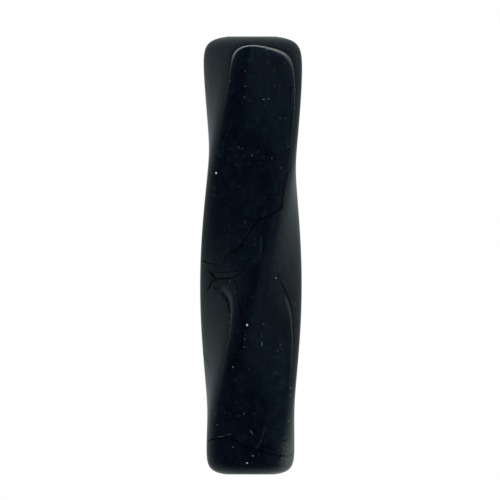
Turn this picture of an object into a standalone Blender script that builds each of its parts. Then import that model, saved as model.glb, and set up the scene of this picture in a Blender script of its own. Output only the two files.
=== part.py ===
"""A twisted four-sided bar of polished black stone, divided along its fissures.

Units are metres, +Z is up. The bar stands on its lower end with its axis on Z
and its lower end face at z = 0. At SQUARE_HEIGHT one pair of faces looks along -Y and +Y.
"""

import math

import bmesh
import bpy
from mathutils import Vector

LENGTH = 0.0400

# The section: four sides that blend into one another, as (bearing at SQUARE_HEIGHT, distance).
SIDES = (
    (math.radians(-90.0), 0.00397),
    (math.radians(2.2), 0.00428),
    (math.radians(89.7), 0.00415),
    (math.radians(175.9), 0.00383),
)
SIDE_BLEND = 0.001135

# The ends are blended into the sides in the same way, and then ground flat by a small depth.
LOWER_END_BLEND = 0.00058
LOWER_END_GROUND = 0.00017
UPPER_END_BLEND = 0.00068
UPPER_END_GROUND = 0.00018

# The twist: a right-handed quarter turn in QUARTER_TURN of height, easing off near the lower end.
QUARTER_TURN = 0.0228
SQUARE_HEIGHT = 0.02855
EASE_HEIGHT = 0.0080

# The twist's axis stands a little off the middle of the bar's box.
AXIS = Vector((-0.00012, 0.00004, 0.0))

# Fineness of the mesh: points round the section, drawn together at its corners, and rings.
SECTION_POINTS = 48
CORNER_DRAW = 0.5
RING_SPACING = 0.00080
END_HEIGHT = 2 * UPPER_END_BLEND
END_RINGS = 7

# Newton's method for the section starts from a radius well outside it.
FIRST_RADIUS = 0.0080
NEWTON_STEPS = 9

# Fissures: the gap between two blocks, and the thinner fill that cements it.
GAP = 0.00016
FILL = 0.00009

# Fissure traces on the front of the bar, as (x, z) from left to right or round the flake.
MAIN_TRACE = (
    (-0.0060, 0.0198),
    (-0.0045, 0.0195),
    (-0.0032, 0.0191),
    (-0.0027, 0.0190),
    (-0.0021, 0.0201),
    (-0.0014, 0.0204),
    (-0.0003, 0.0218),
    (0.0005, 0.0231),
    (0.0019, 0.0237),
    (0.0028, 0.0244),
    (0.0030, 0.0262),
    (0.0033, 0.0275),
    (0.0038, 0.0284),
    (0.0060, 0.0290),
)
FLAKE_TRACE = (
    (-0.0065, 0.0166),
    (-0.0044, 0.0166),
    (-0.0037, 0.0170),
    (-0.0034, 0.0177),
    (-0.0018, 0.0180),
    (-0.0014, 0.0175),
    (-0.0011, 0.0157),
    (-0.0008, 0.0138),
    (-0.0008, 0.0121),
    (-0.0012, 0.0111),
    (-0.0021, 0.0096),
    (-0.0034, 0.0086),
    (-0.0065, 0.0079),
)
CHIP_UPPER_TRACE = (
    (-0.0033, 0.0184),
    (-0.0026, 0.01845),
    (-0.0017, 0.0185),
    (-0.0010, 0.0186),
)
CHIP_LOWER_TRACE = (
    (-0.0033, 0.0179),
    (-0.0018, 0.0180),
    (-0.0010, 0.0184),
)
END_TRACE = (
    (-0.0060, 0.0031),
    (-0.0043, 0.0032),
    (-0.0037, 0.0032),
    (-0.0030, 0.0033),
    (-0.0020, 0.0034),
    (-0.0006, 0.0026),
    (0.0014, 0.0019),
    (0.0030, 0.0017),
    (0.0060, 0.0016),
)

# How far a fissure drifts in x and in z for each metre that it runs back through the bar.
MAIN_LEAN = (0.0, -0.35)
FLAKE_LEAN = (-0.60, 0.0)
END_LEAN = (0.05, 0.20)

# The chip's cut and its fill end at this y, just inside the front of the bar.
CHIP_BACK = -0.0016

# How far every cutter reaches in front of and behind the plane y = 0, well past the bar.
REACH = 0.012

# Faces that meet at less than this angle are shaded as one round surface.
ROUND_ANGLE = math.radians(35)


def clear_scene():
    for obj in list(bpy.data.objects):
        bpy.data.objects.remove(obj, do_unlink=True)


def stone_material(name, colour, roughness):
    material = bpy.data.materials.new(name)
    material.use_nodes = True
    shader = material.node_tree.nodes["Principled BSDF"]
    shader.inputs["Base Color"].default_value = (*colour, 1.0)
    shader.inputs["Roughness"].default_value = roughness
    shader.inputs["Metallic"].default_value = 0.0
    return material


def twist_angle(z):
    """Rotation of the section about Z at height z; below EASE_HEIGHT its rate falls evenly to zero."""
    rate = math.pi / 2 / QUARTER_TURN
    angle = rate * (max(z, EASE_HEIGHT) - SQUARE_HEIGHT)
    below = max(EASE_HEIGHT - z, 0.0)
    return angle - rate * (below - below * below / (2 * EASE_HEIGHT))


def fullness(z):
    """How much of the whole section is left at height z: 1 along the bar, less within its round ends."""
    lower = math.exp(-(z + LOWER_END_GROUND) / LOWER_END_BLEND)
    upper = math.exp(-(LENGTH - z + UPPER_END_GROUND) / UPPER_END_BLEND)
    return 1 - lower - upper


def section_radius(bearing, full):
    """Distance from the axis to the section's outline in one direction, by Newton's method."""
    radius = FIRST_RADIUS
    for _ in range(NEWTON_STEPS):
        total, slope = 0.0, 0.0
        for side_bearing, distance in SIDES:
            along = math.cos(bearing - side_bearing)
            pull = math.exp((radius * along - distance) / SIDE_BLEND)
            total += pull
            slope += pull * along
        radius -= SIDE_BLEND * math.log(total / full) * total / slope
    return radius


def section_outline(z):
    """The outline of the bar at height z, anticlockwise from above, as points at that height."""
    points = []
    for i in range(SECTION_POINTS):
        turn = 2 * math.pi * i / SECTION_POINTS
        bearing = turn + CORNER_DRAW * math.sin(4 * turn) / 4
        radius = section_radius(bearing, fullness(z))
        turned = bearing + twist_angle(z)
        points.append(Vector((radius * math.cos(turned), radius * math.sin(turned), z)) + AXIS)
    return points


def front_y(x, z):
    """The y of the bar's front surface at x and height z, or 0 beyond its outline."""
    outline = section_outline(z)
    crossings = [0.0]
    for a, b in zip(outline, outline[1:] + outline[:1]):
        if min(a.x, b.x) <= x < max(a.x, b.x):
            crossings.append(a.y + (b.y - a.y) * (x - a.x) / (b.x - a.x))
    return min(crossings)


def ring_heights():
    """Heights of the rings: even along the bar, closing up towards each end's flat."""
    rounded = [END_HEIGHT * (i / END_RINGS) ** 2 for i in range(END_RINGS)]
    straight = LENGTH - 2 * END_HEIGHT
    steps = round(straight / RING_SPACING)
    middle = [END_HEIGHT + straight * i / steps for i in range(steps + 1)]
    return rounded + middle + [LENGTH - height for height in reversed(rounded)]


def bar_mesh():
    """The whole bar: a ring of vertices on each outline, joined by faces and capped at both ends."""
    bm = bmesh.new()
    rings = [[bm.verts.new(point) for point in section_outline(z)] for z in ring_heights()]
    for lower, upper in zip(rings, rings[1:]):
        for i in range(SECTION_POINTS):
            j = (i + 1) % SECTION_POINTS
            bm.faces.new((lower[i], lower[j], upper[j], upper[i]))
    bm.faces.new(rings[0])
    bm.faces.new(rings[-1])
    bmesh.ops.recalc_face_normals(bm, faces=bm.faces)
    mesh = bpy.data.meshes.new("whole_bar")
    bm.to_mesh(mesh)
    bm.free()
    return mesh


def carried_line(trace, lean):
    """A trace on the front of the bar, carried along the fissure's lean to the plane y = 0."""
    line = []
    for x, z in trace:
        y = front_y(x, z)
        line.append(Vector((x - lean[0] * y, z - lean[1] * y)))
    return line


def offset_line(line, distance):
    """The line moved to its left by distance, with mitred corners."""
    moved = []
    for i, point in enumerate(line):
        before = (point - line[i - 1]).normalized() if i else None
        after = (line[i + 1] - point).normalized() if i < len(line) - 1 else None
        run = ((before or after) + (after or before)).normalized()
        square = Vector((-run.y, run.x))
        side = after or before
        lengthen = max(square.dot(Vector((-side.y, side.x))), 0.5)
        moved.append(point + square * (distance / lengthen))
    return moved


def prism(name, outline, lean, back=REACH):
    """A closed cutter: the outline in the plane y = 0, carried along the lean from front to back."""
    bm = bmesh.new()
    front = -REACH
    corners = [bm.verts.new((p.x + lean[0] * front, front, p.y + lean[1] * front)) for p in outline]
    face = bm.faces.new(corners)
    grown = bmesh.ops.extrude_face_region(bm, geom=[face])
    far = [g for g in grown["geom"] if isinstance(g, bmesh.types.BMVert)]
    depth = back - front
    bmesh.ops.translate(bm, verts=far, vec=(lean[0] * depth, depth, lean[1] * depth))
    bmesh.ops.recalc_face_normals(bm, faces=bm.faces)
    mesh = bpy.data.meshes.new(name)
    bm.to_mesh(mesh)
    bm.free()
    cutter = bpy.data.objects.new(name, mesh)
    cutter.hide_render = True
    cutter.display_type = "WIRE"
    bpy.context.scene.collection.objects.link(cutter)
    return cutter


def above(line):
    """An outline of everything above a line that runs from left to right."""
    top = 2 * LENGTH
    return [*line, Vector((line[-1].x, top)), Vector((line[0].x, top))]


def below(line):
    """An outline of everything below a line that runs from left to right."""
    bottom = -LENGTH
    return [*line, Vector((line[-1].x, bottom)), Vector((line[0].x, bottom))]


def band(line, width):
    """A thin outline along both sides of a line."""
    return [*offset_line(line, width / 2), *reversed(offset_line(line, -width / 2))]


def block(name, mesh, material, cuts):
    """One named piece: the whole bar's mesh with a Boolean for each (operation, cutter)."""
    own = mesh.copy()
    own.name = name
    own.materials.clear()
    own.materials.append(material)
    obj = bpy.data.objects.new(name, own)
    bpy.context.scene.collection.objects.link(obj)
    for operation, cutter in cuts:
        modifier = obj.modifiers.new(f"{operation.lower()}_{cutter.name}", "BOOLEAN")
        modifier.operation = operation
        modifier.solver = "EXACT"
        modifier.object = cutter
    own.shade_smooth()
    own.set_sharp_from_angle(angle=ROUND_ANGLE)
    return obj


def main():
    clear_scene()
    stone = stone_material("black_stone", (0.006, 0.009, 0.014), 0.08)
    chip_stone = stone_material("grey_green_stone", (0.020, 0.024, 0.021), 0.20)
    vein = stone_material("vein_mineral", (0.014, 0.013, 0.012), 0.50)
    bar = bar_mesh()

    main_line = carried_line(MAIN_TRACE, MAIN_LEAN)
    flake_line = carried_line(FLAKE_TRACE, FLAKE_LEAN)
    chip_upper = carried_line(CHIP_UPPER_TRACE, FLAKE_LEAN)
    chip_lower = carried_line(CHIP_LOWER_TRACE, FLAKE_LEAN)
    end_line = carried_line(END_TRACE, END_LEAN)
    half = GAP / 2

    over_main = prism("over_main", above(offset_line(main_line, -half)), MAIN_LEAN)
    under_main = prism("under_main", below(offset_line(main_line, half)), MAIN_LEAN)
    over_end = prism("over_end", above(offset_line(end_line, -half)), END_LEAN)
    under_end = prism("under_end", below(offset_line(end_line, half)), END_LEAN)
    flake_shape = prism("flake_shape", offset_line(flake_line, -half), FLAKE_LEAN)
    flake_seat = prism("flake_seat", offset_line(flake_line, half), FLAKE_LEAN)
    chip_outline = [*offset_line(chip_lower, half), *reversed(offset_line(chip_upper, -half))]
    seat_outline = [*offset_line(chip_lower, -half), *reversed(offset_line(chip_upper, half))]
    chip_shape = prism("chip_shape", chip_outline, FLAKE_LEAN, CHIP_BACK)
    chip_seat = prism("chip_seat", seat_outline, FLAKE_LEAN, CHIP_BACK + GAP)

    block("upper_block", bar, stone, [("DIFFERENCE", under_main)])
    block(
        "lower_block",
        bar,
        stone,
        [
            ("DIFFERENCE", over_main),
            ("DIFFERENCE", under_end),
            ("DIFFERENCE", flake_seat),
            ("DIFFERENCE", chip_seat),
        ],
    )
    block("end_block", bar, stone, [("DIFFERENCE", over_end)])
    block("left_flake", bar, stone, [("INTERSECT", flake_shape)])
    block("lens_chip", bar, chip_stone, [("INTERSECT", chip_shape)])

    fills = (
        ("main_fissure_fill", main_line, MAIN_LEAN, REACH),
        ("flake_fissure_fill", flake_line, FLAKE_LEAN, REACH),
        ("end_fissure_fill", end_line, END_LEAN, REACH),
        ("chip_fissure_fill", chip_upper, FLAKE_LEAN, CHIP_BACK),
    )
    for name, line, lean, back in fills:
        sheet = prism(f"{name}_sheet", band(line, FILL), lean, back)
        block(name, bar, vein, [("INTERSECT", sheet)])


main()
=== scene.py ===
"""The looks of a twisted bar of polished black stone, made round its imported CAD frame.

Units are metres, +Z is up, and the bar stands on its lower end as in the CAD.
"""

import math
import random

import bmesh
import bpy
import numpy as np
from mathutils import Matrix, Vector


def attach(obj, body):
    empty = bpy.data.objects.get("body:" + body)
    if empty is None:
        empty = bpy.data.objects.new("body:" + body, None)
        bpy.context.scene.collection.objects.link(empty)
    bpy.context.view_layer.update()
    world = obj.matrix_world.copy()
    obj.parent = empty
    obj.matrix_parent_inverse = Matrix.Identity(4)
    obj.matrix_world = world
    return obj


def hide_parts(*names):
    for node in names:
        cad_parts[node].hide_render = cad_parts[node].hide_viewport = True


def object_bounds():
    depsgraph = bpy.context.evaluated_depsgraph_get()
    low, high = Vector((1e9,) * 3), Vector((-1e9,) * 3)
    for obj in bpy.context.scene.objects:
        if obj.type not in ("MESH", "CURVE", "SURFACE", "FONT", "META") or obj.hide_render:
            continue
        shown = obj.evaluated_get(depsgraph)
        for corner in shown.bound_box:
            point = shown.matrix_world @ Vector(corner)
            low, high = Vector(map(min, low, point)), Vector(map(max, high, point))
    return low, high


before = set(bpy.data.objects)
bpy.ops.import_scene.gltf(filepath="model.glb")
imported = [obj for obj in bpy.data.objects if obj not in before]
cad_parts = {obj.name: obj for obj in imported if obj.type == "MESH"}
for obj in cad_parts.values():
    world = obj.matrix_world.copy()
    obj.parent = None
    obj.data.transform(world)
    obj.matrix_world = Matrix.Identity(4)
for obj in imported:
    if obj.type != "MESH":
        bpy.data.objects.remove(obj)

cad_low, cad_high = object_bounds()

# ---------------------------------------------------------------- shape of the bar, as in the CAD

LENGTH = cad_high.z - cad_low.z

# The section: four sides that blend into one another, by bearing at SQUARE_HEIGHT and distance.
SIDE_BEARINGS = np.radians([-90.0, 2.2, 89.7, 175.9])
SIDE_DISTANCES = np.array([0.00397, 0.00428, 0.00415, 0.00383])
SIDE_BLEND = 0.001135

# The ends are blended into the sides in the same way, and then ground flat by a small depth.
LOWER_END_BLEND = 0.00058
LOWER_END_GROUND = 0.00017
UPPER_END_BLEND = 0.00068
UPPER_END_GROUND = 0.00018

# The twist: a right-handed quarter turn in QUARTER_TURN of height, easing off near the lower end.
QUARTER_TURN = 0.0228
SQUARE_HEIGHT = 0.02855
EASE_HEIGHT = 0.0080
TWIST_RATE = math.pi / 2 / QUARTER_TURN

# The twist's axis stands a little off the middle of the bar's box.
AXIS_X = -0.00012
AXIS_Y = 0.00004

# Fissure traces on the front, as (x, z, how open the fissure is there).
MAIN_TRACE = (
    (-0.0060, 0.0198, 0.5),
    (-0.0045, 0.0195, 0.6),
    (-0.0032, 0.0191, 0.5),
    (-0.0027, 0.0190, 0.4),
    (-0.0021, 0.0201, 0.7),
    (-0.0014, 0.0204, 1.1),
    (-0.0003, 0.0218, 1.1),
    (0.0005, 0.0231, 1.2),
    (0.0019, 0.0237, 1.0),
    (0.0028, 0.0244, 0.8),
    (0.0030, 0.0262, 0.5),
    (0.0033, 0.0275, 0.35),
    (0.0038, 0.0284, 0.25),
    (0.0060, 0.0290, 0.2),
)
FLAKE_TRACE = (
    (-0.0065, 0.0166, 0.4),
    (-0.0044, 0.0166, 0.4),
    (-0.0037, 0.0170, 0.7),
    (-0.0034, 0.0177, 0.7),
    (-0.0018, 0.0180, 0.35),
    (-0.0014, 0.0175, 0.45),
    (-0.0011, 0.0157, 0.55),
    (-0.0008, 0.0138, 0.9),
    (-0.0008, 0.0121, 1.2),
    (-0.0012, 0.0111, 1.1),
    (-0.0021, 0.0096, 0.9),
    (-0.0034, 0.0086, 0.25),
    (-0.0065, 0.0079, 0.2),
)
CHIP_UPPER_TRACE = (
    (-0.0033, 0.0184, 0.45),
    (-0.0026, 0.01845, 0.45),
    (-0.0017, 0.0185, 0.45),
    (-0.0010, 0.0186, 0.45),
)
CHIP_LOWER_TRACE = (
    (-0.0033, 0.0179, 0.45),
    (-0.0018, 0.0180, 0.45),
    (-0.0010, 0.0184, 0.45),
)
END_TRACE = (
    (-0.0060, 0.0031, 0.5),
    (-0.0043, 0.0032, 0.6),
    (-0.0037, 0.0032, 0.7),
    (-0.0030, 0.0033, 0.9),
    (-0.0020, 0.0034, 1.1),
    (-0.0006, 0.0026, 0.9),
    (0.0014, 0.0019, 0.8),
    (0.0030, 0.0017, 0.5),
    (0.0060, 0.0016, 0.3),
)

# How far a fissure drifts in x and in z for each metre that it runs back through the bar.
MAIN_LEAN = (0.0, -0.35)
FLAKE_LEAN = (-0.60, 0.0)
END_LEAN = (0.05, 0.20)

# The chip's cut and its fill end at this y, just inside the front of the bar.
CHIP_BACK = -0.0016

# How far every cutter reaches in front of and behind the plane y = 0, well past the bar.
REACH = 0.012

# ---------------------------------------------------------------- fineness and small-scale shape

# Points round the section, drawn together at its corners, and the rings of the mesh.
SECTION_POINTS = 144
CORNER_DRAW = 0.5
RING_SPACING = 0.00028
END_HEIGHT = 0.0030
END_RINGS = 22

# Newton's method for the section starts from a radius well outside it.
FIRST_RADIUS = LENGTH / 5
NEWTON_STEPS = 10

# The stone's surface lies this far inside the formula's, so that it stays within the CAD's box.
SKIN = 0.00001

# Fissures where their openness is 1: the gap between the blocks and the thickness of the fill,
# whose surface lies FILL_DEPTH below the stone's.
GAP = 0.00014
FILL = 0.00009
FILL_DEPTH = 0.00005

# A fissure's edge moves sideways by up to JAG at every JAG_STEP of its length.
JAG_STEP = 0.00030
JAG = 0.00006

# At a sharp corner a fissure's offset is lengthened at most 1 / LEAST_MITRE times.
LEAST_MITRE = 0.5

# A vertex this near to the round surface counts as on it. A face does too, if all its vertices do
# and the cosine between its normal and theirs is at least LEAST_FACING.
SURFACE_TOLERANCE = 0.000004
LEAST_FACING = 0.5

# Seeds of the random draws, one for each jagged fissure and one for each kind of grain.
MAIN_SEED = 3
FLAKE_SEED = 5
END_SEED = 7
GRAIN_SEED = 11
SLIVER_SEED = 13


def twist_angle(z):
    """Rotation of the section about Z at height z; below EASE_HEIGHT its rate falls evenly to zero."""
    below = np.maximum(EASE_HEIGHT - z, 0.0)
    angle = TWIST_RATE * (np.maximum(z, EASE_HEIGHT) - SQUARE_HEIGHT)
    return angle - TWIST_RATE * (below - below * below / (2 * EASE_HEIGHT))


def twist_slope(z):
    """The change of twist_angle with height."""
    return TWIST_RATE * np.minimum(np.maximum(z, 0.0) / EASE_HEIGHT, 1.0)


def end_losses(z):
    """What the lower and the upper end's rounding each take from the section at height z."""
    lower = np.exp(-(z + LOWER_END_GROUND) / LOWER_END_BLEND)
    upper = np.exp(-(LENGTH - z + UPPER_END_GROUND) / UPPER_END_BLEND)
    return lower, upper


def side_pulls(u, v):
    """How strongly each of the four sides bounds the untwisted point (u, v); on the bar they add to 1."""
    along = np.multiply.outer(u, np.cos(SIDE_BEARINGS)) + np.multiply.outer(v, np.sin(SIDE_BEARINGS))
    return np.exp((along - SIDE_DISTANCES) / SIDE_BLEND)


def section_outline(z, inset=0.0):
    """Points round the bar at height z, anticlockwise from above and closer together at its corners."""
    turn = np.arange(SECTION_POINTS) * 2 * math.pi / SECTION_POINTS
    bearing = turn + CORNER_DRAW * np.sin(4 * turn) / 4
    ahead, aside = np.cos(bearing), np.sin(bearing)
    full = 1.0 - sum(end_losses(z))
    radius = np.full(SECTION_POINTS, FIRST_RADIUS)
    for _ in range(NEWTON_STEPS):
        pulls = side_pulls(radius * ahead, radius * aside)
        slope = pulls @ np.cos(SIDE_BEARINGS) * ahead + pulls @ np.sin(SIDE_BEARINGS) * aside
        total = pulls.sum(axis=1)
        radius -= SIDE_BLEND * np.log(total / full) * total / slope
    nu, nv = pulls @ np.cos(SIDE_BEARINGS), pulls @ np.sin(SIDE_BEARINGS)
    size = np.hypot(nu, nv)
    u, v = radius * ahead - inset * nu / size, radius * aside - inset * nv / size
    c, s = np.cos(twist_angle(z)), np.sin(twist_angle(z))
    return np.stack([AXIS_X + u * c - v * s, AXIS_Y + u * s + v * c], axis=1)


def front_y(x, z):
    """The y of the bar's front surface at x and height z, or 0 beyond its outline."""
    outline = section_outline(z)
    crossings = [0.0]
    for a, b in zip(outline, np.roll(outline, -1, axis=0)):
        if min(a[0], b[0]) <= x < max(a[0], b[0]):
            crossings.append(a[1] + (b[1] - a[1]) * (x - a[0]) / (b[0] - a[0]))
    return float(min(crossings))


def ring_heights():
    """Heights of the rings: even along the bar, closing up towards each end's flat."""
    rounded = [END_HEIGHT * (i / END_RINGS) ** 2 for i in range(END_RINGS)]
    straight = LENGTH - 2 * END_HEIGHT
    steps = round(straight / RING_SPACING)
    middle = [END_HEIGHT + straight * i / steps for i in range(steps + 1)]
    return rounded + middle + [LENGTH - height for height in reversed(rounded)]


def bar_mesh(name, inset):
    """The whole bar as one closed mesh, inset by a small distance all round."""
    bm = bmesh.new()
    rings = [[bm.verts.new((*point, z)) for point in section_outline(z, inset)] for z in ring_heights()]
    for lower, upper in zip(rings, rings[1:]):
        for i, corner in enumerate(lower):
            j = (i + 1) % SECTION_POINTS
            bm.faces.new((corner, lower[j], upper[j], upper[i]))
    bm.faces.new(reversed(rings[0]))
    bm.faces.new(rings[-1])
    mesh = bpy.data.meshes.new(name)
    bm.to_mesh(mesh)
    bm.free()
    return mesh


def surface_gap_and_normal(points):
    """Distance of each point outside the bar's round surface, nearly, and that surface's normal."""
    z = points[:, 2]
    x, y = points[:, 0] - AXIS_X, points[:, 1] - AXIS_Y
    c, s = np.cos(twist_angle(z)), np.sin(twist_angle(z))
    u, v = x * c + y * s, y * c - x * s
    pulls = side_pulls(u, v)
    lower, upper = end_losses(z)
    nu = pulls @ np.cos(SIDE_BEARINGS) / SIDE_BLEND
    nv = pulls @ np.sin(SIDE_BEARINGS) / SIDE_BLEND
    ends = upper / UPPER_END_BLEND - lower / LOWER_END_BLEND
    nz = twist_slope(z) * (nu * v - nv * u) + ends
    normal = np.stack([nu * c - nv * s, nu * s + nv * c, nz], axis=1)
    steepness = np.linalg.norm(normal, axis=1)
    gap = (pulls.sum(axis=1) + lower + upper - 1.0) / steepness
    return gap, normal / steepness[:, None]


def polish_normals(mesh, inset=SKIN):
    """Gives the round surface its true normals, so that reflections run smoothly over it."""
    mesh.shade_smooth()
    count = len(mesh.vertices)
    points = np.empty(count * 3)
    mesh.vertices.foreach_get("co", points)
    points = points.reshape(-1, 3)
    gap, normal = surface_gap_and_normal(points)
    outer = np.abs(gap + inset) < SURFACE_TOLERANCE
    at_end = (points[:, 2] < SURFACE_TOLERANCE) | (points[:, 2] > LENGTH - SURFACE_TOLERANCE)
    loops = np.zeros((len(mesh.loops), 3))
    for face in mesh.polygons:
        flat = np.array(face.normal)
        verts = list(face.vertices)
        facing = (normal[verts] @ flat).min() > LEAST_FACING
        is_round = outer[verts].all() and not at_end[verts].all() and facing
        for loop, vert in zip(face.loop_indices, verts):
            loops[loop] = normal[vert] if is_round else flat
    mesh.normals_split_custom_set(loops.tolist())


# ---------------------------------------------------------------- fissures


def carried_line(trace, lean):
    """A trace on the front, carried along the fissure's lean to the plane y = 0, as (x, z, open)."""
    line = []
    for x, z, opened in trace:
        y = front_y(x, z)
        line.append(Vector((x - lean[0] * y, z - lean[1] * y, opened)))
    return line


def jagged(line, seed):
    """The line with short steps between its points, each moved sideways a little."""
    draw = random.Random(seed)
    rough = [line[0]]
    for a, b in zip(line, line[1:]):
        run = b - a
        square = Vector((-run.y, run.x, 0.0)).normalized()
        steps = max(1, round(run.to_2d().length / JAG_STEP))
        for i in range(1, steps + 1):
            aside = draw.uniform(-JAG, JAG) if i < steps else 0.0
            rough.append(a + run * (i / steps) + square * aside)
    return rough


def offset_line(line, distance):
    """The line moved to its left by distance where the fissure's openness is 1, with mitred corners."""
    moved = []
    for i, point in enumerate(line):
        here = point.to_2d()
        before = (here - line[i - 1].to_2d()).normalized() if i else None
        after = (line[i + 1].to_2d() - here).normalized() if i < len(line) - 1 else None
        run = ((before or after) + (after or before)).normalized()
        square = Vector((-run.y, run.x))
        side = after or before
        lengthen = max(square.dot(Vector((-side.y, side.x))), LEAST_MITRE)
        moved.append(here + square * (distance * point.z / lengthen))
    return moved


def prism(name, outline, lean, back=REACH):
    """A closed cutter: the outline in the plane y = 0, carried along the lean from front to back."""
    bm = bmesh.new()
    front = -REACH
    corners = [bm.verts.new((p.x + lean[0] * front, front, p.y + lean[1] * front)) for p in outline]
    face = bm.faces.new(corners)
    grown = bmesh.ops.extrude_face_region(bm, geom=[face])
    far = [g for g in grown["geom"] if isinstance(g, bmesh.types.BMVert)]
    depth = back - front
    bmesh.ops.translate(bm, verts=far, vec=(lean[0] * depth, depth, lean[1] * depth))
    bmesh.ops.recalc_face_normals(bm, faces=bm.faces)
    bmesh.ops.triangulate(bm, faces=bm.faces)
    mesh = bpy.data.meshes.new(name)
    bm.to_mesh(mesh)
    bm.free()
    return mesh


def above(line):
    """An outline of everything above a line that runs from left to right."""
    top = 2 * LENGTH
    return [*line, Vector((line[-1].x, top)), Vector((line[0].x, top))]


def below(line):
    """An outline of everything below a line that runs from left to right."""
    bottom = -LENGTH
    return [*line, Vector((line[-1].x, bottom)), Vector((line[0].x, bottom))]


def band(line, width):
    """A thin outline along both sides of a line."""
    return [*offset_line(line, width / 2), *reversed(offset_line(line, -width / 2))]


def cut_piece(name, base, cuts, inset=SKIN):
    """A piece of the bar: the base mesh after each Boolean, with the true surface's normals."""
    piece = bpy.data.objects.new(name, base.copy())
    bpy.context.scene.collection.objects.link(piece)
    tools = []
    for operation, cutter_mesh in cuts:
        tool = bpy.data.objects.new(cutter_mesh.name, cutter_mesh)
        bpy.context.scene.collection.objects.link(tool)
        tools.append(tool)
        modifier = piece.modifiers.new(operation, "BOOLEAN")
        modifier.operation = operation
        modifier.solver = "MANIFOLD"
        modifier.object = tool
    graph = bpy.context.evaluated_depsgraph_get()
    cut = bpy.data.meshes.new_from_object(piece.evaluated_get(graph), depsgraph=graph)
    piece.modifiers.clear()
    piece.data = cut
    cut.name = name
    for tool in tools:
        bpy.data.objects.remove(tool, do_unlink=True)
    polish_normals(cut, inset)
    return piece


# ---------------------------------------------------------------- materials


def node(tree, kind, inputs, **settings):
    """A new node: its settings, then each input given a value or linked from another node's output."""
    new = tree.nodes.new(kind)
    for name, value in settings.items():
        setattr(new, name, value)
    for name, value in inputs.items():
        if isinstance(value, bpy.types.NodeSocket):
            tree.links.new(value, new.inputs[name])
        else:
            new.inputs[name].default_value = value
    return new


def ramp(tree, value, stops):
    """A colour ramp over stops of (position, colour), where a colour may be one number."""
    new = node(tree, "ShaderNodeValToRGB", {"Fac": value})
    elements = new.color_ramp.elements
    while len(elements) < len(stops):
        elements.new(0.5)
    for element, (position, colour) in zip(elements, stops):
        element.position = position
        grey = isinstance(colour, (int, float))
        element.color = (colour, colour, colour, 1.0) if grey else (*colour, 1.0)
    return new.outputs["Color"]


def noise(tree, place, per_metre, detail=3.0, rough=0.5, distortion=0.0):
    """A noise with features about 1 / per_metre across."""
    inputs = {
        "Vector": place,
        "Scale": per_metre,
        "Detail": detail,
        "Roughness": rough,
        "Distortion": distortion,
    }
    return node(tree, "ShaderNodeTexNoise", inputs).outputs["Fac"]


def mixed(tree, share, low, high, blend="MIX"):
    """Two colours mixed by share."""
    inputs = {0: share, 6: low, 7: high}
    return node(tree, "ShaderNodeMix", inputs, data_type="RGBA", blend_type=blend).outputs[2]


def maths(tree, operation, a, b=0.0, c=0.0):
    """The result of a Math node on up to three values."""
    return node(tree, "ShaderNodeMath", {0: a, 1: b, 2: c}, operation=operation).outputs[0]


def specks(tree, place, per_metre, radius, kept):
    """1 on small round spots: a part kept of the cells of a Voronoi texture, each with one spot."""
    cells = node(tree, "ShaderNodeTexVoronoi", {"Vector": place, "Scale": per_metre})
    lottery = node(tree, "ShaderNodeSeparateColor", {"Color": cells.outputs["Color"]})
    drawn = maths(tree, "LESS_THAN", lottery.outputs[0], kept)
    spot = ramp(tree, cells.outputs["Distance"], [(0.6 * radius, 1.0), (radius, 0.0)])
    return maths(tree, "MULTIPLY", drawn, spot)


def hairlines(tree, place, per_metre, turn, stretch, width, kept):
    """1 on thin wavering lines: where a stretched noise crosses its middle, in a few regions only."""
    drawn_out = node(tree, "ShaderNodeMapping", {"Vector": place, "Rotation": turn, "Scale": stretch})
    field = noise(tree, drawn_out.outputs[0], per_metre, 2.0, 0.45, 0.3)
    off = maths(tree, "ABSOLUTE", maths(tree, "SUBTRACT", field, 0.5))
    line = ramp(tree, off, [(0.0, 1.0), (width, 0.0)])
    region = ramp(tree, noise(tree, place, 330.0, 1.0), [(1 - kept, 0.0), (1.05 - kept, 1.0)])
    return maths(tree, "MULTIPLY", line, region)


def bump(tree, height, distance, under=None):
    """A bump of up to the given distance in metres, laid over an earlier one if there is one."""
    inputs = {"Height": height, "Distance": distance, "Strength": 1.0}
    if under is not None:
        inputs["Normal"] = under
    return node(tree, "ShaderNodeBump", inputs).outputs["Normal"]


def new_material(name):
    """A material with its node tree, its Principled shader and object coordinates in metres."""
    material = bpy.data.materials.new(name)
    material.use_nodes = True
    tree = material.node_tree
    shader = tree.nodes["Principled BSDF"]
    place = tree.nodes.new("ShaderNodeTexCoord").outputs["Object"]
    return material, tree, shader, place


# A patch at the lower right corner where the polish is worn: its middle, and how fast it fades
# from there for each metre along x, y and z.
ABRADED_PLACE = (0.0038, -0.0030, 0.0014)
ABRADED_SHAPE = (260.0, 200.0, 150.0)


def worn_patch(tree, place):
    """1 in the middle of the worn patch, breaking up into grains towards its edge."""
    apart = node(tree, "ShaderNodeVectorMath", {0: place, 1: ABRADED_PLACE}, operation="SUBTRACT")
    scaled = {0: apart.outputs[0], 1: ABRADED_SHAPE}
    squeezed = node(tree, "ShaderNodeVectorMath", scaled, operation="MULTIPLY")
    away = node(tree, "ShaderNodeVectorMath", {0: squeezed.outputs[0]}, operation="LENGTH")
    grains = noise(tree, place, 6200.0, 4.0, 0.75)
    ragged = maths(tree, "MULTIPLY_ADD", grains, 1.3, away.outputs["Value"])
    return ramp(tree, ragged, [(0.72, 1.0), (1.18, 0.0)])


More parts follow.
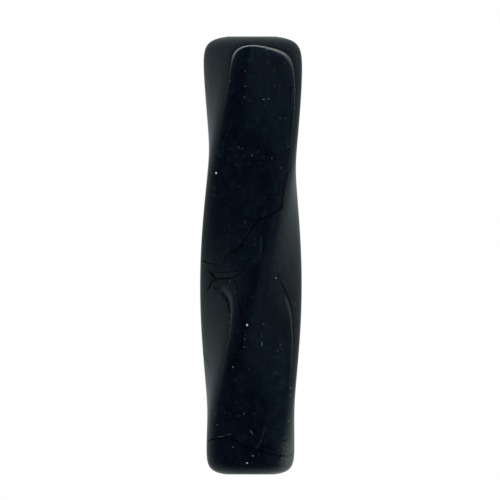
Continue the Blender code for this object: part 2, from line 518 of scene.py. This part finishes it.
def black_stone():
    """Polished black stone: blue-black with dim clouds, pale flecks, pits and polishing hairlines."""
    material, tree, shader, place = new_material("polished_black_stone")
    colour = ramp(
        tree,
        noise(tree, place, 1050.0, 5.0, 0.62, 0.4),
        [
            (0.34, (0.0009, 0.0023, 0.0051)),
            (0.52, (0.0019, 0.0042, 0.0088)),
            (0.66, (0.0039, 0.0078, 0.0122)),
            (0.80, (0.0080, 0.0130, 0.0160)),
        ],
    )
    violet = ramp(tree, noise(tree, place, 420.0, 3.0, 0.55), [(0.50, 0.0), (0.70, 0.55)])
    colour = mixed(tree, violet, colour, (0.0028, 0.0027, 0.0098, 1.0))
    dust = ramp(tree, noise(tree, place, 7200.0, 2.0, 0.7), [(0.60, 0.0), (0.74, 1.0)])
    colour = mixed(tree, maths(tree, "MULTIPLY", dust, 0.5), colour, (0.020, 0.028, 0.034, 1.0))
    flecks = specks(tree, place, 1500.0, 0.13, 0.11)
    grit = specks(tree, place, 3300.0, 0.20, 0.17)
    pale = maths(tree, "MAXIMUM", flecks, maths(tree, "MULTIPLY", grit, 0.6))
    lines = hairlines(tree, place, 240.0, (0.2, 0.5, 0.3), (1.0, 1.0, 0.30), 0.006, 0.46)
    colour = mixed(tree, maths(tree, "MULTIPLY", pale, 0.8), colour, (0.058, 0.070, 0.072, 1.0))
    colour = mixed(tree, maths(tree, "MULTIPLY", lines, 0.45), colour, (0.024, 0.034, 0.040, 1.0))
    abraded = worn_patch(tree, place)
    colour = mixed(tree, maths(tree, "MULTIPLY", abraded, 0.8), colour, (0.088, 0.096, 0.084, 1.0))
    tree.links.new(colour, shader.inputs["Base Color"])

    smudge = noise(tree, place, 380.0, 4.0, 0.6, 0.6)
    dull = maths(tree, "MULTIPLY_ADD", smudge, 0.11, 0.015)
    dull = maths(tree, "MULTIPLY_ADD", pale, 0.35, dull)
    dull = maths(tree, "MULTIPLY_ADD", lines, 0.10, dull)
    dull = maths(tree, "MULTIPLY_ADD", abraded, 0.22, dull)
    tree.links.new(dull, shader.inputs["Roughness"])

    pits = specks(tree, place, 2100.0, 0.12, 0.12)
    wave = bump(tree, noise(tree, place, 230.0, 2.0, 0.4), 0.000010)
    fine = bump(tree, noise(tree, place, 3600.0, 3.0, 0.6), 0.0000005, wave)
    hollows = maths(tree, "MULTIPLY_ADD", lines, 0.3, pits)
    level = maths(tree, "SUBTRACT", 1.0, hollows)
    tree.links.new(bump(tree, level, 0.000008, fine), shader.inputs["Normal"])
    shader.inputs["IOR"].default_value = 1.54
    return material


def grey_green_stone():
    """The chip's stone: the same polish over a greyer, greener and more mottled body."""
    material, tree, shader, place = new_material("polished_grey_green_stone")
    colour = ramp(
        tree,
        noise(tree, place, 2300.0, 5.0, 0.65, 0.5),
        [
            (0.34, (0.0012, 0.0042, 0.0050)),
            (0.52, (0.0030, 0.0070, 0.0076)),
            (0.70, (0.0064, 0.0112, 0.0110)),
        ],
    )
    grit = specks(tree, place, 3800.0, 0.16, 0.16)
    colour = mixed(tree, grit, colour, (0.030, 0.038, 0.034, 1.0))
    tree.links.new(colour, shader.inputs["Base Color"])
    dull = maths(tree, "MULTIPLY_ADD", noise(tree, place, 1500.0, 4.0, 0.6), 0.30, 0.06)
    tree.links.new(dull, shader.inputs["Roughness"])
    wave = bump(tree, noise(tree, place, 1300.0, 4.0, 0.6), 0.000012)
    tree.links.new(wave, shader.inputs["Normal"])
    shader.inputs["IOR"].default_value = 1.54
    return material


def seam_mineral_with_painted_shade():
    """The seams' filling: dark, matt and granular, with a few paler grains. The slivers of painted shade
    and painted dark reflection take it too.
    """
    material, tree, shader, place = new_material("granular_seam_mineral_and_painted_shade")
    colour = ramp(
        tree,
        noise(tree, place, 2600.0, 5.0, 0.7, 0.3),
        [
            (0.36, (0.0006, 0.0008, 0.0011)),
            (0.58, (0.0022, 0.0024, 0.0026)),
            (0.74, (0.0052, 0.0047, 0.0044)),
        ],
    )
    grit = specks(tree, place, 6000.0, 0.20, 0.08)
    colour = mixed(tree, grit, colour, (0.016, 0.018, 0.018, 1.0))
    tree.links.new(colour, shader.inputs["Base Color"])
    dull = maths(tree, "MULTIPLY_ADD", noise(tree, place, 5200.0, 3.0, 0.6), 0.35, 0.55)
    tree.links.new(dull, shader.inputs["Roughness"])
    rough = bump(tree, noise(tree, place, 9000.0, 4.0, 0.7), 0.00002)
    tree.links.new(rough, shader.inputs["Normal"])
    shader.inputs["Specular IOR Level"].default_value = 0.1
    return material


def pale_grain_and_painted_highlight(name, light, dark):
    """A mineral grain that reaches the surface: pale, cloudy and only half polished. It also colours the
    yellow marks that are painted highlight.
    """
    material, tree, shader, place = new_material(name)
    cloud = noise(tree, place, 14000.0, 4.0, 0.6)
    colour = ramp(tree, cloud, [(0.36, dark), (0.60, light)])
    tree.links.new(colour, shader.inputs["Base Color"])
    dull = maths(tree, "MULTIPLY_ADD", cloud, 0.5, 0.15)
    tree.links.new(dull, shader.inputs["Roughness"])
    tree.links.new(bump(tree, cloud, 0.000006), shader.inputs["Normal"])
    return material


def pale_floor():
    """A plain pale matt floor with a very faint, fine tooth."""
    material, tree, shader, place = new_material("pale_floor")
    tone = ramp(tree, noise(tree, place, 60.0, 4.0, 0.6), [(0.3, 0.885), (0.7, 0.900)])
    tree.links.new(tone, shader.inputs["Base Color"])
    dull = maths(tree, "MULTIPLY_ADD", noise(tree, place, 900.0), 0.1, 0.82)
    tree.links.new(dull, shader.inputs["Roughness"])
    tree.links.new(bump(tree, noise(tree, place, 1500.0), 0.00001), shader.inputs["Normal"])
    return material


def dress(piece, material, nodes):
    """Gives a piece its material, its body and the CAD nodes that it stands for, if any."""
    piece.data.materials.clear()
    piece.data.materials.append(material)
    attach(piece, "root")
    if nodes:
        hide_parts(*nodes)


# ---------------------------------------------------------------- grains in the surface

# Each grain is (x, z, half length, half width, anticlockwise tilt of its length from level in
# degrees). The half sizes are the whole grain's; a smaller cap of it shows.
WHITE_GRAINS = (
    (-0.00322, 0.02753, 0.00013, 0.00012, 20),
    (-0.00039, 0.01365, 0.00012, 0.00011, 60),
    (-0.00039, 0.00105, 0.00010, 0.00009, 0),
    (0.00226, 0.01794, 0.00008, 0.00006, 80),
)
GREY_GRAINS = (
    (0.00112, 0.01374, 0.00008, 0.00007, 30),
    (-0.00057, 0.03547, 0.00007, 0.00007, 10),
    (-0.00057, 0.03684, 0.00006, 0.00006, 70),
    (0.00271, 0.02798, 0.00006, 0.00006, 40),
    (-0.00062, 0.01164, 0.00008, 0.00006, 90),
    (-0.00121, 0.00534, 0.00006, 0.00005, 15),
    (-0.00313, 0.00452, 0.00007, 0.00006, 0),
    (-0.00167, 0.00251, 0.00007, 0.00006, 50),
    (0.00098, 0.01196, 0.00034, 0.00005, 84),
    (0.00002, 0.00384, 0.00036, 0.00005, 120),
    (0.00112, 0.03425, 0.00016, 0.00005, 8),
    (0.00160, 0.03432, 0.00012, 0.00005, 150),
    (0.00262, 0.03255, 0.00009, 0.00004, 0),
    (0.00310, 0.03255, 0.00008, 0.00005, 0),
    (-0.00283, 0.00346, 0.00034, 0.00003, 3),
    (-0.00205, 0.00364, 0.00028, 0.00002, 14),
    (-0.00112, 0.02990, 0.00016, 0.00002, 45),
    (-0.00085, 0.02975, 0.00010, 0.00002, 30),
    (0.00190, 0.02890, 0.00010, 0.00004, 10),
    (0.00285, 0.02380, 0.00010, 0.00004, 0),
    (0.00240, 0.01130, 0.00008, 0.00005, 30),
)
# Yellow marks: all but the second lie on the bright lines along the bar's edges and are painted
# highlight; the second is a yellow grain.
YELLOW_GRAINS_AND_PAINTED_HIGHLIGHTS = (
    (-0.00167, 0.00981, 0.00008, 0.00006, 35),
    (0.00016, 0.00169, 0.00012, 0.00007, 160),
    (0.00362, 0.00790, 0.00014, 0.00006, 95),
    (0.00362, 0.00720, 0.00009, 0.00006, 80),
    (0.00340, 0.00488, 0.00014, 0.00007, 20),
)
# Dark slivers of painted shade and painted reflection: the wide ones at the flake's upper left corner
# paint the shade in a notch there, and the narrow ones paint a dark reflected line that runs down and to
# the right from it.
PAINTED_SHADE_AND_REFLECTION_SLIVERS = (
    (-0.00372, 0.01840, 0.00040, 0.00026, 128),
    (-0.00356, 0.01822, 0.00044, 0.00030, 128),
    (-0.00338, 0.01798, 0.00044, 0.00028, 128),
    (-0.00324, 0.01776, 0.00036, 0.00016, 118),
    (-0.00306, 0.01712, 0.00040, 0.00007, 128),
    (-0.00268, 0.01655, 0.00044, 0.00005, 130),
    (-0.00232, 0.01590, 0.00044, 0.00005, 118),
    (-0.00212, 0.01515, 0.00044, 0.00004, 105),
    (-0.00380, 0.01840, 0.00026, 0.00008, 40),
)

# A grain's middle lies GRAIN_SINK reliefs below the surface, and its top GRAIN_DEPTH reliefs above
# its middle.
GRAIN_RELIEF = 0.000015
SLIVER_RELIEF = 0.000060
GRAIN_DEPTH = 3
GRAIN_SINK = 2.4


def grain_mesh(name, grains, relief, seed):
    """Small lens-shaped grains let into the front surface, each a closed body, in one mesh."""
    draw = random.Random(seed)
    bm = bmesh.new()
    for x, z, long, wide, tilt in grains:
        centre = Vector((x, front_y(x, z), z))
        _, normals = surface_gap_and_normal(np.array([centre]))
        out = Vector(normals[0])
        level = out.cross(Vector((0, 0, -1))).normalized()
        rise = out.cross(level)
        turn = math.radians(tilt)
        along = level * math.cos(turn) + rise * math.sin(turn)
        across = out.cross(along)
        ball = bmesh.ops.create_icosphere(bm, subdivisions=2, radius=1.0)
        for vert in ball["verts"]:
            spread = draw.uniform(0.85, 1.12)
            local = vert.co * spread
            depth = (local.z * GRAIN_DEPTH - GRAIN_SINK) * relief
            vert.co = centre + along * (local.x * long) + across * (local.y * wide) + out * depth
    mesh = bpy.data.meshes.new(name)
    bm.to_mesh(mesh)
    bm.free()
    mesh.shade_smooth()
    return mesh


def add_grains(name, grains, relief, seed, material):
    """Adds a set of grains as one piece, which stands for no CAD node."""
    piece = bpy.data.objects.new(name, grain_mesh(name, grains, relief, seed))
    bpy.context.scene.collection.objects.link(piece)
    dress(piece, material, [])


# ---------------------------------------------------------------- stage, light and camera

WHITE = (1.0, 1.0, 1.0, 1.0)
FLOOR_RADIUS = 0.8

# The camera looks level along +Y, and the bar's length is this share of the height of its view.
CAMERA_PLACE = (-0.000116, -0.5, 0.0205)
BAR_SHARE_OF_VIEW = 0.876


def make_world():
    """White behind the bar for the camera. Reflections see a dark front, a pale back and a rim light."""
    world = bpy.data.worlds.new("studio")
    bpy.context.scene.world = world
    world.use_nodes = True
    tree = world.node_tree
    tree.nodes.clear()
    where = tree.nodes.new("ShaderNodeTexCoord").outputs["Generated"]
    split = node(tree, "ShaderNodeSeparateXYZ", {0: where})

    # The surroundings, by how far back a reflection looks: 0 is straight at the camera, 1 away from it.
    back = maths(tree, "MULTIPLY_ADD", split.outputs["Y"], 0.5, 0.5)
    pale_back = [
        (0.340, (0.058, 0.080, 0.088)),
        (0.413, (0.090, 0.122, 0.130)),
        (0.465, (0.120, 0.156, 0.162)),
        (0.535, (0.158, 0.200, 0.204)),
        (0.604, (0.185, 0.226, 0.230)),
        (0.750, (0.220, 0.262, 0.266)),
    ]
    dark_front = [(0.000, (0.006, 0.004, 0.014)), (0.010, (0.008, 0.009, 0.020))]
    right_front = [(0.060, (0.038, 0.066, 0.086)), (0.250, (0.072, 0.114, 0.132))]
    left_front = [(0.060, (0.010, 0.018, 0.026)), (0.250, (0.026, 0.048, 0.058))]
    right = ramp(tree, back, dark_front + right_front + pale_back)
    left = ramp(tree, back, dark_front + left_front + pale_back)
    from_left = {"Value": split.outputs["X"], "From Min": -0.05, "From Max": 0.60}
    aside = node(tree, "ShaderNodeMapRange", from_left, interpolation_type="SMOOTHSTEP")
    around = mixed(tree, aside.outputs["Result"], left, right)

    # The rim light: an arch from side to side above the horizon, tipped forwards and wider towards
    # its top. Its front edge is blue and its back edge is warm.
    up = split.outputs["Z"]
    spread = node(tree, "ShaderNodeMapRange", {"Value": up, "To Min": 1.0, "To Max": 4.0})
    tipped = maths(tree, "MULTIPLY_ADD", up, 0.38, maths(tree, "SUBTRACT", split.outputs["Y"], 0.03))
    across = maths(tree, "DIVIDE", tipped, spread.outputs["Result"])
    rim_at = maths(tree, "MULTIPLY_ADD", across, 0.5, 0.5)
    rim_colour = ramp(
        tree,
        rim_at,
        [
            (0.481, (0.30, 0.62, 1.00)),
            (0.490, (0.90, 1.00, 0.96)),
            (0.498, (0.94, 1.00, 0.88)),
            (0.505, (1.00, 0.82, 0.48)),
        ],
    )
    rim_place = ramp(tree, rim_at, [(0.472, 0.0), (0.484, 1.0), (0.504, 1.0), (0.512, 0.0)])
    overhead = ramp(tree, up, [(0.0, 0.0), (0.05, 0.11), (0.18, 0.16), (0.36, 0.75), (0.90, 1.0)])
    limits = {"From Min": -0.9, "From Max": -0.4, "To Min": 3.9, "To Max": 5.2}
    sideways = node(tree, "ShaderNodeMapRange", {"Value": split.outputs["X"], **limits})
    power = maths(tree, "MULTIPLY", overhead, sideways.outputs["Result"])
    rim = mixed(tree, 1.0, rim_colour, power, "MULTIPLY")
    lit_part = ramp(tree, up, [(0.0, 0.0), (0.05, 1.0)])

    # A dark line along the rim light's back edge.
    edge_place = ramp(tree, rim_at, [(0.508, 0.0), (0.516, 0.8), (0.528, 0.8), (0.538, 0.0)])
    edge_part = ramp(tree, maths(tree, "ADD", up, 0.3), [(0.15, 0.0), (0.25, 1.0)])
    edge = maths(tree, "MULTIPLY", edge_place, edge_part)
    edged = mixed(tree, edge, around, (0.010, 0.012, 0.02, 1.0))
    seen_by_stone = mixed(tree, maths(tree, "MULTIPLY", rim_place, lit_part), edged, rim)

    seen = node(tree, "ShaderNodeBackground", {"Color": WHITE})
    lit = node(tree, "ShaderNodeBackground", {"Color": seen_by_stone})
    path = tree.nodes.new("ShaderNodeLightPath")
    mix_inputs = {0: path.outputs["Is Camera Ray"], 1: lit.outputs[0], 2: seen.outputs[0]}
    mix = node(tree, "ShaderNodeMixShader", mix_inputs)
    node(tree, "ShaderNodeOutputWorld", {"Surface": mix.outputs[0]})


def area_light(name, place, size, power):
    """A square soft light aimed at the middle of the bar, with no reflection of its own."""
    data = bpy.data.lights.new(name, "AREA")
    data.energy = power
    data.size = size
    light = bpy.data.objects.new(name, data)
    bpy.context.scene.collection.objects.link(light)
    light.location = place
    towards_bar = Vector((0, 0, LENGTH / 2)) - Vector(place)
    light.rotation_euler = towards_bar.to_track_quat("-Z", "Y").to_euler()
    light.visible_glossy = False
    light.visible_camera = False


def make_floor():
    """A round pale floor at the bar's lower end, left out of its reflections."""
    bm = bmesh.new()
    bmesh.ops.create_circle(bm, cap_ends=True, segments=96, radius=FLOOR_RADIUS)
    mesh = bpy.data.meshes.new("floor")
    bm.to_mesh(mesh)
    bm.free()
    floor = bpy.data.objects.new("floor", mesh)
    bpy.context.scene.collection.objects.link(floor)
    mesh.materials.append(pale_floor())
    floor.visible_glossy = False


def make_camera():
    """A level camera without perspective, in front of the bar's middle."""
    data = bpy.data.cameras.new("camera")
    data.type = "ORTHO"
    data.ortho_scale = LENGTH / BAR_SHARE_OF_VIEW
    camera = bpy.data.objects.new("camera", data)
    bpy.context.scene.collection.objects.link(camera)
    camera.location = CAMERA_PLACE
    camera.rotation_euler = (math.pi / 2, 0, 0)
    bpy.context.scene.camera = camera


# ---------------------------------------------------------------- the whole scene


def make_bar(stone, chip_stone, dark_seam_and_painted_shade):
    """The blocks, the flake, the chip and the seams between them."""
    bar = bar_mesh("whole_bar", SKIN)
    core = bar_mesh("bar_core", SKIN + FILL_DEPTH)
    main_line = jagged(carried_line(MAIN_TRACE, MAIN_LEAN), MAIN_SEED)
    flake_line = jagged(carried_line(FLAKE_TRACE, FLAKE_LEAN), FLAKE_SEED)
    chip_upper = carried_line(CHIP_UPPER_TRACE, FLAKE_LEAN)
    chip_lower = carried_line(CHIP_LOWER_TRACE, FLAKE_LEAN)
    end_line = jagged(carried_line(END_TRACE, END_LEAN), END_SEED)
    half = GAP / 2

    over_main = prism("over_main", above(offset_line(main_line, -half)), MAIN_LEAN)
    under_main = prism("under_main", below(offset_line(main_line, half)), MAIN_LEAN)
    over_end = prism("over_end", above(offset_line(end_line, -half)), END_LEAN)
    under_end = prism("under_end", below(offset_line(end_line, half)), END_LEAN)
    flake_shape = prism("flake_shape", offset_line(flake_line, -half), FLAKE_LEAN)
    flake_seat = prism("flake_seat", offset_line(flake_line, half), FLAKE_LEAN)
    chip_outline = [*offset_line(chip_lower, half), *reversed(offset_line(chip_upper, -half))]
    seat_outline = [*offset_line(chip_lower, -half), *reversed(offset_line(chip_upper, half))]
    chip_shape = prism("chip_shape", chip_outline, FLAKE_LEAN, CHIP_BACK)
    chip_seat = prism("chip_seat", seat_outline, FLAKE_LEAN, CHIP_BACK + GAP)

    blocks = (
        ("upper_block", [("DIFFERENCE", under_main)]),
        (
            "lower_block",
            [
                ("DIFFERENCE", over_main),
                ("DIFFERENCE", under_end),
                ("DIFFERENCE", flake_seat),
                ("DIFFERENCE", chip_seat),
            ],
        ),
        ("end_block", [("DIFFERENCE", over_end)]),
        ("left_flake", [("INTERSECT", flake_shape)]),
    )
    for name, cuts in blocks:
        piece = cut_piece(f"{name}_stone", bar, cuts)
        dress(piece, stone, [name])
    chip = cut_piece("lens_chip_stone", bar, [("INTERSECT", chip_shape)])
    dress(chip, chip_stone, ["lens_chip"])

    fills = (
        ("main_fissure_fill", main_line, MAIN_LEAN, REACH),
        ("flake_fissure_fill", flake_line, FLAKE_LEAN, REACH),
        ("end_fissure_fill", end_line, END_LEAN, REACH),
        ("chip_fissure_fill", chip_upper, FLAKE_LEAN, CHIP_BACK),
    )
    for name, line, lean, back in fills:
        sheet = prism(f"{name}_sheet", band(line, FILL), lean, back)
        seam = cut_piece(f"{name}_seam", core, [("INTERSECT", sheet)], SKIN + FILL_DEPTH)
        dress(seam, dark_seam_and_painted_shade, [name])


def make_grains(dark_seam_and_painted_shade):
    """The pale grains in the front surface, the yellow marks of painted highlight, and the dark slivers
    of painted shade and painted reflection.
    """
    grain_sets = (
        ("white_grains", WHITE_GRAINS, (0.75, 0.80, 0.82), (0.35, 0.40, 0.42)),
        ("grey_grains", GREY_GRAINS, (0.115, 0.140, 0.145), (0.040, 0.055, 0.060)),
        # The yellow set is mostly painted highlight on the edges' bright lines.
        ("yellow_grains_and_painted_highlights", YELLOW_GRAINS_AND_PAINTED_HIGHLIGHTS, (0.22, 0.25, 0.12), (0.06, 0.08, 0.04)),
    )
    for name, grains, light, dark in grain_sets:
        mineral = pale_grain_and_painted_highlight(f"{name}_mineral", light, dark)
        add_grains(name, grains, GRAIN_RELIEF, GRAIN_SEED, mineral)
    # The slivers take the seams' dark material, as painted shade and painted reflection.
    add_grains("painted_shade_and_reflection_slivers", PAINTED_SHADE_AND_REFLECTION_SLIVERS, SLIVER_RELIEF, SLIVER_SEED, dark_seam_and_painted_shade)


def main():
    dark_seam_and_painted_shade = seam_mineral_with_painted_shade()
    make_bar(black_stone(), grey_green_stone(), dark_seam_and_painted_shade)
    make_grains(dark_seam_and_painted_shade)
    make_world()
    area_light("front_key", (0.15, -0.5, 0.25), 0.4, 0.85)
    area_light("overhead", (0.0, 0.0, 0.6), 0.6, 1.6)
    make_floor()
    make_camera()
    bpy.context.scene.view_settings.view_transform = "Standard"


main()
